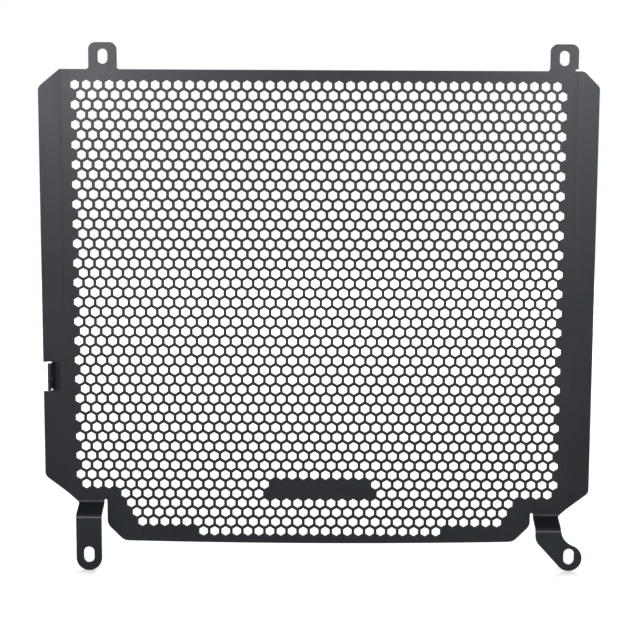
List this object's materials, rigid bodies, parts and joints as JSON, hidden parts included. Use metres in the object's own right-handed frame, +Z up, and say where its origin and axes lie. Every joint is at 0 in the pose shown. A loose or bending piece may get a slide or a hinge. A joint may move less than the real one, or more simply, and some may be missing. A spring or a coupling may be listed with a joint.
{
  "type": "motorcycle radiator guard",
  "caption": "Flat guard folded from one sheet, with a grille of hexagonal holes, angled wings, slotted top tabs, a side tab and stepped legs.",
  "frame": {"origin": "middle of the guard's bounding box", "axes": "+X across the guard, to the right in the picture; +Z up along the grille; -Y towards the radiator, the side that the picture shows and that the tabs and legs step to"},
  "size_m": [0.3644, 0.0176, 0.349],
  "materials": {
    "powder_coat": "satin"
  },
  "bodies": {
    "root": {"radiator_guard": "powder_coat"}
  },
  "joints": []
}
